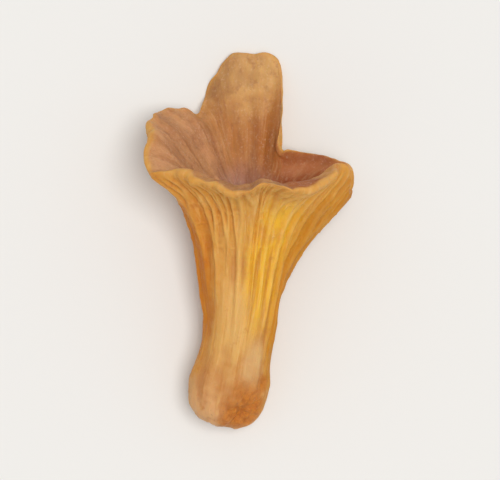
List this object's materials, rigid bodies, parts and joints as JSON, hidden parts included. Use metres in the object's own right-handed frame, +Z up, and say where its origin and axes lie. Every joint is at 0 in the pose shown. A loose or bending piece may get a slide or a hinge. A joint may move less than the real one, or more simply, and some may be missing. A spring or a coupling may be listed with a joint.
{
  "type": "chanterelle mushroom",
  "caption": "Small golden chanterelle lying on its side: round-footed stem flaring into a wavy, lobed funnel cap with blunt forked ridges running down its underside.",
  "frame": {"origin": "middle of the bounding box in X and Y, on the surface that the mushroom lies on", "axes": "+Y from the foot of the stem to the cap, the longest extent; +X to the right seen from above; +Z up, the shortest extent"},
  "size_m": [0.0266, 0.0492, 0.0231],
  "materials": {
    "flesh": "matt golden ochre flesh, brown-pink and lightly dusted inside the cap, paler at the lip and foot"
  },
  "bodies": {
    "root": {"chanterelle": "flesh"}
  },
  "joints": []
}
